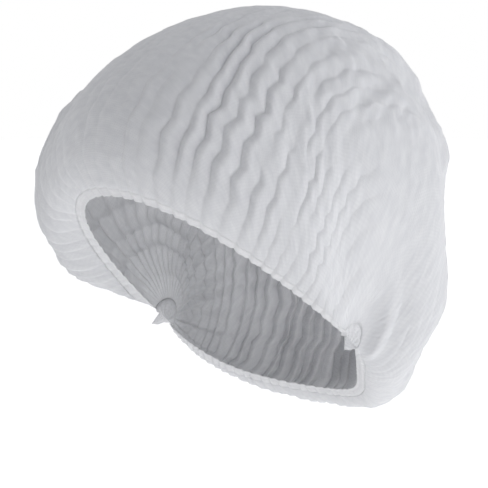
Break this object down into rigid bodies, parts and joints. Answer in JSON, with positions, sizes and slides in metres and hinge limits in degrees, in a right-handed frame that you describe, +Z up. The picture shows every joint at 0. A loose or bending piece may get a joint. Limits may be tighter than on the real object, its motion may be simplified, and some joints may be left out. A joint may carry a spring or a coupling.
{
  "type": "disposable pleated strip cap",
  "caption": "Disposable nonwoven strip cap in its worn form: a gathered crown drawn in by an elastic hem in front and at the nape, ending in welded tabs at the ears.",
  "frame": {"origin": "midway between the two end tabs, on the line from ear to ear, inside the hollow for the head", "axes": "+Z up through the crown, -Y the way the wearer looks, +X the wearer's left"},
  "size_m": [0.2097, 0.2488, 0.2482],
  "materials": {
    "crown_nonwoven": "matt white spunbond nonwoven",
    "hem_nonwoven": "matt white spunbond nonwoven, gathered double over elastic",
    "welded_nonwoven": "satin white, pressed flat by the weld"
  },
  "bodies": {
    "root": {"crown": "crown_nonwoven", "front_hem": "hem_nonwoven", "rear_hem": "hem_nonwoven", "end_tab_left": "welded_nonwoven", "end_tab_right": "welded_nonwoven"}
  },
  "joints": []
}
